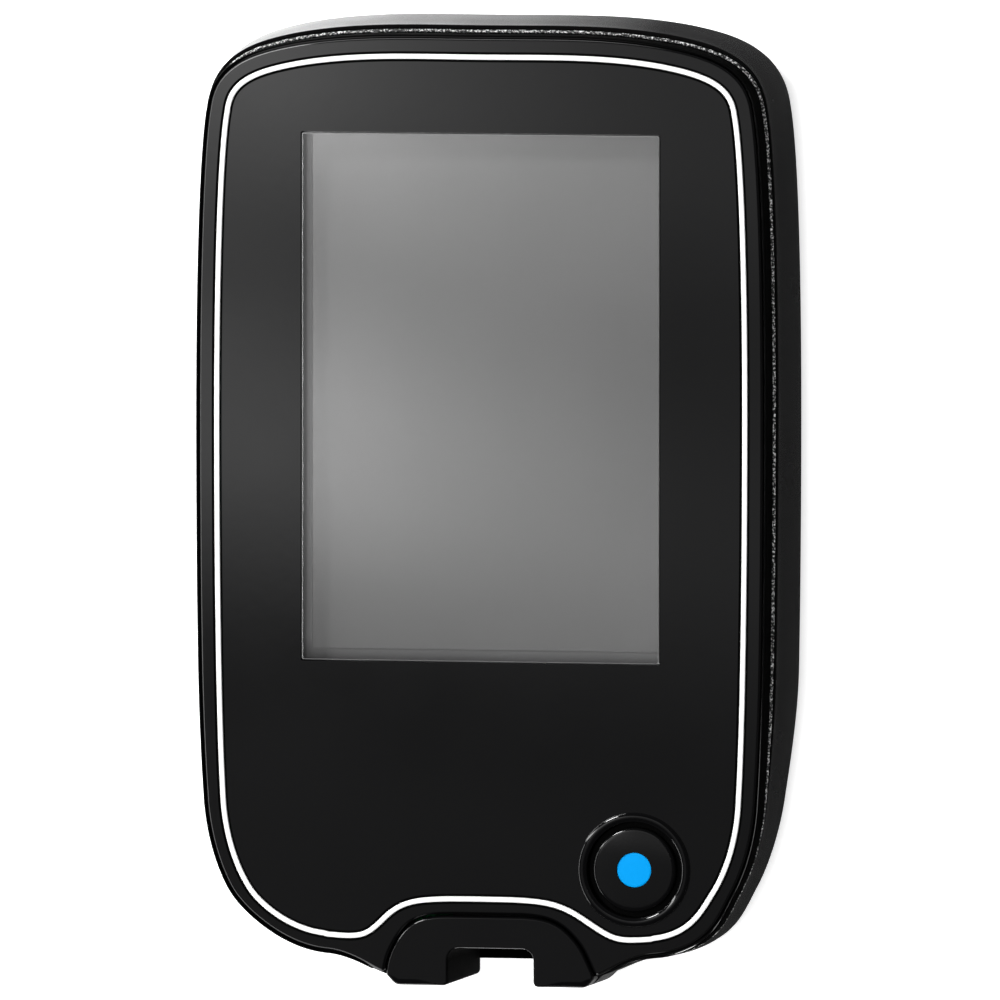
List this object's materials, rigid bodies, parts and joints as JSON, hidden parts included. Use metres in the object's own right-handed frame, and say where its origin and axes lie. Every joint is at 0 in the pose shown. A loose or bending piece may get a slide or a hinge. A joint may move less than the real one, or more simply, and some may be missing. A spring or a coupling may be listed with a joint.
{
  "type": "blood glucose meter",
  "caption": "Handheld blood glucose meter with a touch display under a flat gloss face, a round home button, a test strip port in a notch between two feet, and a side charging socket.",
  "frame": {"origin": "centre of the back face, which the meter rests on", "axes": "+X across its width to the right as seen from the face, +Y along its length to the top edge, +Z out of the face"},
  "size_m": [0.06, 0.095, 0.0164],
  "materials": {
    "case_matt_black": "fine matt texture",
    "gloss_black": "polished",
    "face_black": "polished",
    "clear_window": "polished",
    "white_trim": "satin",
    "button_blue": "satin",
    "sensor_glass": "polished",
    "amber_film": "satin film",
    "foam_black": "foam",
    "lcd_grey": "satin film",
    "lcd_glass": "polished",
    "light_guide": "satin",
    "steel_sheet": "pressed sheet",
    "board_green": "solder mask",
    "chip_black": "moulded",
    "ceramic_tan": "fired",
    "copper": "bare",
    "ferrite_grey": "matt",
    "contact_gold": "plated",
    "cell_foil": "satin foil",
    "lead_red": "smooth",
    "lead_black": "smooth",
    "plug_cream": "moulded",
    "inner_black": "moulded",
    "motor_steel": "drawn",
    "weight_metal": "sintered",
    "switch_ivory": "moulded",
    "screw_black": "blackened"
  },
  "bodies": {
    "case": {"rear_shell": "case_matt_black", "front_housing": "gloss_black", "fascia": "face_black", "display_window": "clear_window", "accent_trim": "white_trim", "port_bezel": "gloss_black", "touch_sensor": "sensor_glass", "touch_flex": "amber_film", "display_gasket": "foam_black", "lcd_polarizer": "lcd_grey", "lcd_panel": "lcd_glass", "lcd_backlight": "light_guide", "lcd_frame": "steel_sheet", "display_flex": "amber_film", "main_board": "board_green", "processor_chip": "chip_black", "memory_chip": "chip_black", "charger_chip": "chip_black", "radio_chip": "chip_black", "chip_capacitors": "ceramic_tan", "shield_can": "steel_sheet", "antenna_film": "amber_film", "antenna_coil": "copper", "ferrite_sheet": "ferrite_grey", "antenna_contacts": "contact_gold", "battery_pad": "foam_black", "battery_cell": "cell_foil", "battery_lead_red": "lead_red", "battery_lead_black": "lead_black", "battery_plug": "plug_cream", "buzzer": "inner_black", "vibration_motor": "motor_steel", "motor_clip": "steel_sheet", "strip_port_body": "inner_black", "strip_contacts": "contact_gold", "usb_receptacle": "steel_sheet", "usb_tongue": "inner_black", "switch_body": "switch_ivory", "switch_dome": "steel_sheet", "case_screws": "screw_black", "board_screws": "steel_sheet"},
    "button": {"home_button": "gloss_black", "button_dot": "button_blue", "switch_plunger": "inner_black"},
    "motor_rotor": {"motor_weight": "weight_metal"}
  },
  "joints": [
    {"name": "button_press", "type": "slide", "parent": "case", "child": "button", "axis": [0, 0, -1], "range_m": [0, 0.00035], "stiffness_N_per_m": 2500, "springref_m": -0.0003, "deforming": ["switch_dome"]},
    {"name": "motor_spin", "type": "hinge", "parent": "case", "child": "motor_rotor", "pos_m": [-0.012, -0.0333, 0.01115], "axis": [1, 0, 0], "continuous": true}
  ]
}
